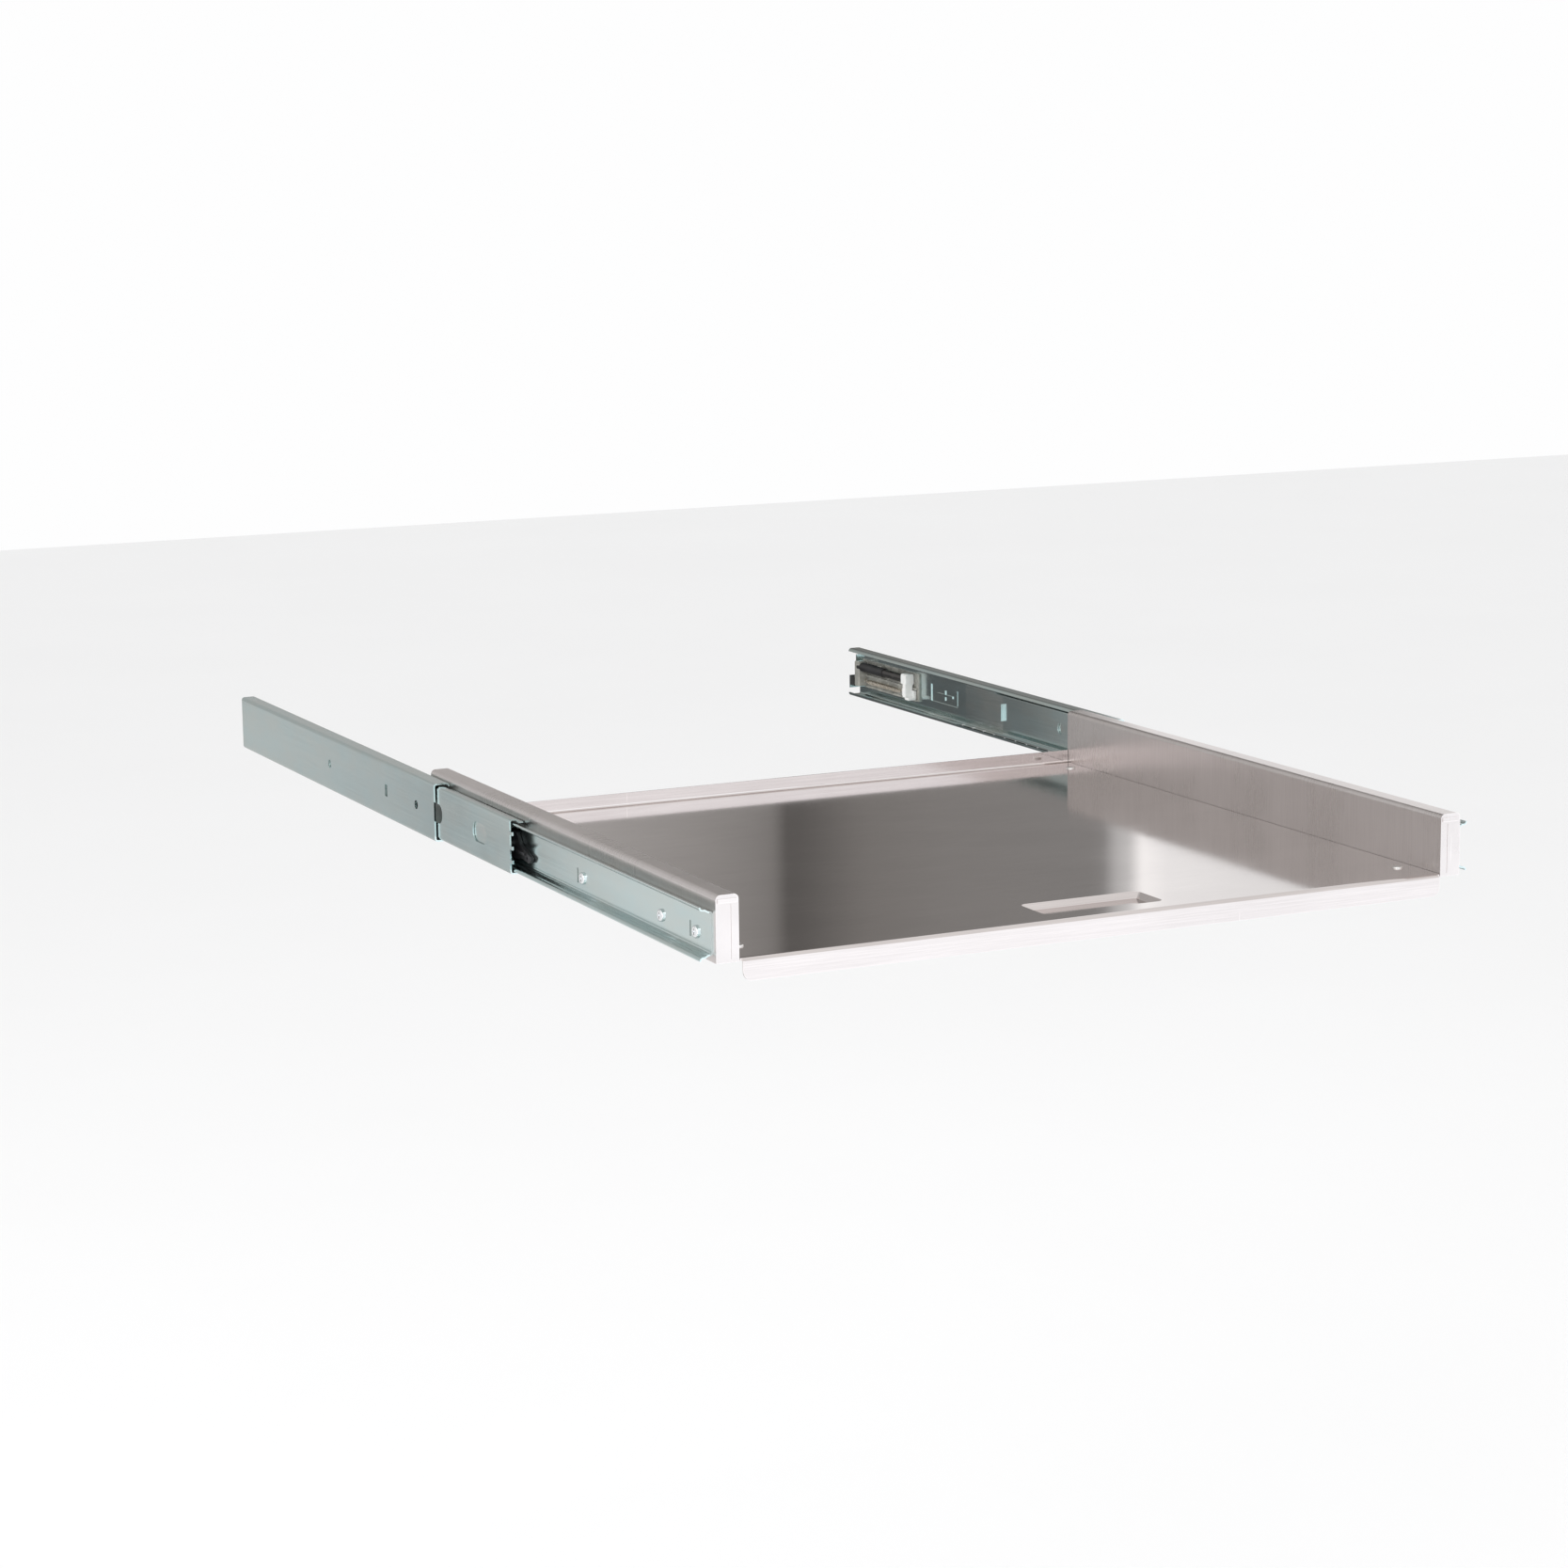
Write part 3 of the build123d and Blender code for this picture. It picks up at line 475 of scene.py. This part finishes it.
# %% The plastic recipe
def plastic(name, light, dark, rough, bump, coat=0.0, glow_depth=0.0):
    """Moulded plastic; glow_depth is how far light wanders inside it, in metres."""
    material, tree, shader = empty_material(name)
    skin = place_group(tree, moulded_skin)
    edge = place_group(tree, edge_wear_and_highlight, Width=0.0005).outputs["Edge"]
    base = mix_colours(tree, skin.outputs["Sink"], (*dark, 1), (*light, 1))
    # Edges painted lighter: scuffing plus a painted highlight.
    scuff_and_highlight_tone = tuple(min(1.0, value * 1.3 + 0.03) for value in light)
    scuffed_and_highlit = mix_colours(tree, maths(tree, "MULTIPLY", edge, 0.5), base, (*scuff_and_highlight_tone, 1))
    tree.links.new(scuffed_and_highlit, shader.inputs["Base Color"])
    gloss_swing = 0.06
    roughness = spread(
        tree, skin.outputs["Sink"], 0.0, 1.0, rough - gloss_swing, rough + gloss_swing
    )
    tree.links.new(roughness, shader.inputs["Roughness"])
    grain_depth = 0.03 * mm
    lift = add_node(
        tree, "ShaderNodeBump", strength=bump, distance=grain_depth, height=skin.outputs["Grain"]
    )
    tree.links.new(lift.outputs[0], shader.inputs["Normal"])
    shader.inputs["Coat Weight"].default_value = coat
    if glow_depth:
        shader.inputs["Subsurface Weight"].default_value = 0.35
        shader.inputs["Subsurface Radius"].default_value = (1.0, 0.95, 0.9)
        shader.inputs["Subsurface Scale"].default_value = glow_depth
    return material


black_nylon = plastic(
    "black_glass_filled_nylon", (0.022, 0.022, 0.024), (0.012, 0.012, 0.013), 0.42, 0.5
)
damper_black = plastic(
    "smooth_damper_black", (0.030, 0.028, 0.026), (0.018, 0.016, 0.015), 0.22, 0.08, coat=0.2
)
milky_acetal = plastic(
    "milky_acetal", (0.88, 0.88, 0.86), (0.78, 0.79, 0.77), 0.34, 0.25,
    coat=0.1, glow_depth=1.5 * mm,
)
smoky_nylon = plastic(
    "smoky_nylon", (0.40, 0.395, 0.355), (0.27, 0.27, 0.245), 0.24, 0.15,
    coat=0.35, glow_depth=1.0 * mm,
)
soft_rubber = plastic(
    "soft_black_rubber", (0.035, 0.034, 0.033), (0.022, 0.022, 0.021), 0.72, 0.9
)

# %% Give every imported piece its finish
finish_of_slot = {
    "zinc_steel": zinc_plate,
    "cage_steel": cage_strip,
    "ball_steel": ball_steel,
    "black_plastic": black_nylon,
    "damper_black": damper_black,
    "white_plastic": milky_acetal,
    "smoky_plastic": smoky_nylon,
    "black_rubber": soft_rubber,
    "fastener_steel": fastener_steel,
    "spring_steel": spring_wire,
    "stainless_pan": stainless_pan,
    "stainless_wall": stainless_wall,
    "stainless_rivet": stainless_rivet,
}
for part in frame["record"]["subparts"]:
    slots = nodes[part["node"]].data.materials
    slots.clear()
    slots.append(finish_of_slot[part["material_slot"]])
print("finished", len(nodes), "packed pieces with", len(finish_of_slot), "finishes")

# %% [markdown]
# ## Small builders for mesh pieces
#
# Anything round and long, such as a spring's wire, is a ring of points carried along a
# line. Blender can bevel a curve into a tube, but a mesh made by hand can carry the
# ring with as little twist as possible and be squashed later, which a curve can't.

# %% Tube along a line
def new_piece(name, mesh_maker, finish, smooth=True):
    """A mesh object from a bmesh recipe, with its finish."""
    mesh = bpy.data.meshes.new(name)
    shape = bmesh.new()
    mesh_maker(shape)
    bmesh.ops.recalc_face_normals(shape, faces=shape.faces)
    shape.to_mesh(mesh)
    shape.free()
    mesh.materials.append(finish)
    if smooth:
        mesh.shade_smooth()
    piece = bpy.data.objects.new(name, mesh)
    bpy.context.scene.collection.objects.link(piece)
    return piece


def tube(shape, line, radius, ring_points=10):
    """A closed tube along a list of points, its ring turned as little as possible."""
    way = (line[1] - line[0]).normalized()
    side = way.orthogonal().normalized()
    rings = []
    for number, place in enumerate(line):
        ahead = line[min(number + 1, len(line) - 1)] - line[max(number - 1, 0)]
        way = ahead.normalized()
        side = (side - way * side.dot(way)).normalized()
        other = way.cross(side)
        ring = []
        for step in range(ring_points):
            angle = 2 * math.pi * step / ring_points
            outward = side * math.cos(angle) + other * math.sin(angle)
            ring.append(shape.verts.new(place + outward * radius))
        rings.append(ring)
    for first, second in zip(rings, rings[1:]):
        for step in range(ring_points):
            after = (step + 1) % ring_points
            shape.faces.new((first[step], first[after], second[after], second[step]))
    shape.faces.new(rings[0][::-1])
    shape.faces.new(rings[-1])


# %% [markdown]
# ## The closer's springs
#
# A soft closer is pulled home by a small extension spring. On the real one the coils
# lie close, and each end opens into a hook that drops over a peg. The imported model
# holds a plain open helix in its place, so this piece stands for it: coils with eased
# ends, then a hook at each end. When the carriage travels, the real coil has to shorten;
# this one is attached to the cabinet side's body and keeps its length.

# %% Coil the springs
coil_turns = 26
points_per_turn = 18
hook_steps = 8
hook_turn = 1.25  # in half turns


def coil_line(low, high, wire):
    """Points of a spring between two Y values, with a hook at each end."""
    centre = Vector(((low.x + high.x) / 2, 0, (low.z + high.z) / 2))
    radius = (high.x - low.x) / 2 - wire
    hook = radius * 1.1
    start, end = low.y + 2 * hook, high.y - 2 * hook
    count = coil_turns * points_per_turn
    line = []
    for step in range(hook_steps + 1):
        angle = math.pi * (hook_turn - hook_turn * step / hook_steps)
        along = start - hook + hook * math.cos(angle + math.pi)
        line.append(centre + Vector((0, along, hook * math.sin(angle))))
    for step in range(count + 1):
        share = step / count
        angle = 2 * math.pi * coil_turns * share
        grow = min(1.0, 6 * share, 6 * (1 - share))
        reach = radius * (0.35 + 0.65 * math.sin(grow * math.pi / 2))
        along = start + (end - start) * share
        line.append(centre + Vector((reach * math.sin(angle), along, reach * math.cos(angle))))
    for step in range(hook_steps + 1):
        angle = math.pi * hook_turn * step / hook_steps
        along = end + hook - hook * math.cos(angle)
        line.append(centre + Vector((0, along, hook * math.sin(angle))))
    return line


for side in sides:
    low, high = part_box(f"{side}_closer_spring")
    wire_radius = 0.32 * mm
    line = coil_line(low, high, wire_radius)
    coil = new_piece(
        f"{side}_closer_coil", lambda shape: tube(shape, line, wire_radius, 8), spring_wire
    )
    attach(coil, "cabinet_side")
    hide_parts(f"{side}_closer_spring")
    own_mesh(coil)

# %% [markdown]
# ## The studio
#
# Bright metal shows the room more than itself, so lighting it means choosing what it
# mirrors. The floor is plain and pale, well below the tray, with broad soft light
# from above and from the front left. Like any product studio, it also has cards that
# only the metal sees: a long, dark one behind, whose brightness changes slowly from
# side to side, so the floor of the tray turns a calm grey; a low dark one for the
# inner slide; and a white one in front for the lip and the wall ends. Cards are kept
# from the camera's view and from the soft light, which real cards are by their place.

# %% Studio helpers
def stage_sheet(name, corners, material):
    """A flat four-cornered sheet for the studio, not part of the object."""
    def fill(shape):
        shape.faces.new([shape.verts.new(corner) for corner in corners])

    sheet = new_piece(name, fill, material, smooth=False)
    return sheet


def card(name, corners, stops):
    """A glowing card that only reflections see; stops are (X in metres, brightness, warmth)."""
    material = bpy.data.materials.new(name)
    material.use_nodes = True
    tree = material.node_tree
    tree.nodes.clear()
    place = tree.nodes.new("ShaderNodeTexCoord").outputs["Object"]
    across = add_node(tree, "ShaderNodeSeparateXYZ", vector=place).outputs["X"]
    first, last = stops[0][0], stops[-1][0]
    share = add_node(tree, "ShaderNodeMapRange")
    tree.links.new(across, share.inputs["Value"])
    share.inputs["From Min"].default_value = first
    share.inputs["From Max"].default_value = last
    ramp = tree.nodes.new("ShaderNodeValToRGB")
    tree.links.new(share.outputs[0], ramp.inputs[0])
    bar = ramp.color_ramp.elements
    while len(bar) < len(stops):
        bar.new(0.5)
    for element, (x, level, warmth) in zip(bar, stops):
        element.position = (x - first) / (last - first)
        element.color = (level * (1 + warmth), level, level * (1 - warmth), 1)
    glow = add_node(tree, "ShaderNodeEmission", color=ramp.outputs[0], strength=1.0)
    out = tree.nodes.new("ShaderNodeOutputMaterial")
    tree.links.new(glow.outputs[0], out.inputs["Surface"])
    sheet = stage_sheet(name, corners, material)
    sheet.visible_camera = False
    sheet.visible_diffuse = False
    sheet.visible_shadow = False
    sheet.visible_transmission = False
    return sheet


def upright_card(name, y, foot, top, stops):
    """A card that stands across the set at one Y, as wide as its stops."""
    left, right = stops[0][0], stops[-1][0]
    corners = [(left, y, foot), (right, y, foot), (right, y, top), (left, y, top)]
    return card(name, corners, stops)


def soft_light(name, place, aim, size, power):
    """A square area light aimed at a point."""
    data = bpy.data.lights.new(name, "AREA")
    data.shape = "RECTANGLE"
    data.size, data.size_y = size
    data.energy = power
    light = bpy.data.objects.new(name, data)
    light.location = place
    light.rotation_euler = (Vector(aim) - Vector(place)).to_track_quat("-Z", "Y").to_euler()
    bpy.context.scene.collection.objects.link(light)
    return light


# %% Floor
floor_drop = 0.80
floor_level = cad_low.z - floor_drop
floor_reach = 9.0
pale, tree, shader = empty_material("pale_studio_floor")
mottle = stretched_noise(tree, (1.5, 1.5, 1.5), detail=4.0)
floor_tone = mix_colours(tree, mottle, (0.86, 0.86, 0.86, 1), (0.885, 0.885, 0.885, 1))
tree.links.new(floor_tone, shader.inputs["Base Color"])
shader.inputs["Roughness"].default_value = 0.9
stage_sheet(
    "studio_floor",
    [
        (x * floor_reach, y * floor_reach, floor_level)
        for x, y in ((-1, -1), (1, -1), (1, 1), (-1, 1))
    ],
    pale,
)
print("floor at", round(floor_level, 3), "m")

# %% Cards
back_y = cad_high.y + 0.30
back_stops = [
    (-1.60, 0.66, 0.0),
    (-0.62, 0.66, 0.0),
    (-0.45, 0.50, 0.01),
    (0.05, 0.50, 0.02),
    (0.26, 0.33, 0.03),
    (0.300, 0.29, 0.03),
    (0.336, 0.25, 0.03),
    (0.344, 0.19, 0.04),
    (0.352, 0.125, 0.04),
    (0.372, 0.13, 0.04),
    (0.40, 0.165, 0.04),
    (0.44, 0.215, 0.04),
    (0.53, 0.25, 0.03),
    (0.70, 0.26, 0.02),
    (0.724, 0.31, 0.01),
    (0.730, 0.66, 0.0),
    (0.753, 0.70, 0.0),
    (0.759, 1.20, 0.0),
    (0.79, 1.05, -0.005),
    (0.90, 0.98, -0.005),
    (1.30, 0.95, 0.0),
    (2.40, 0.90, 0.0),
]
upright_card("back_card", back_y, -0.03, 2.60, back_stops)

low_y = back_y - 0.05
low_stops = [
    (-0.66, 0.90, 0.0),
    (-0.615, 0.42, -0.01),
    (-0.48, 0.62, -0.01),
    (-0.32, 0.66, 0.01),
    (-0.15, 0.52, 0.01),
    (-0.06, 0.26, 0.0),
    (0.02, 0.13, -0.02),
    (0.30, 0.12, -0.02),
    (0.50, 0.30, 0.0),
]
upright_card("low_card", low_y, floor_level, -0.005, low_stops)

front_y = cad_low.y - 0.9
front_stops = [(-1.2, 1.56, -0.035), (0.4, 1.48, -0.04), (2.6, 1.30, -0.04)]
upright_card("front_card", front_y, floor_level + 0.02, 0.95, front_stops)

# %% Lights and sky
centre = (cad_low + cad_high) / 2
top_softbox = soft_light("top_softbox", centre + Vector((0.2, 0.1, 2.4)), centre, (3.2, 3.2), 20.0)
top_softbox.visible_glossy = False
soft_light("front_softbox", centre + Vector((-1.9, -1.7, 1.5)), centre, (1.6, 1.2), 12.0)
sky = bpy.data.worlds.new("studio_sky")
bpy.context.scene.world = sky
sky.use_nodes = True
sky.node_tree.nodes["Background"].inputs["Color"].default_value = (0.99, 0.99, 0.992, 1)
sky.node_tree.nodes["Background"].inputs["Strength"].default_value = 1.0
bpy.context.scene.view_settings.view_transform = "Standard"
bpy.context.scene.view_settings.look = "None"
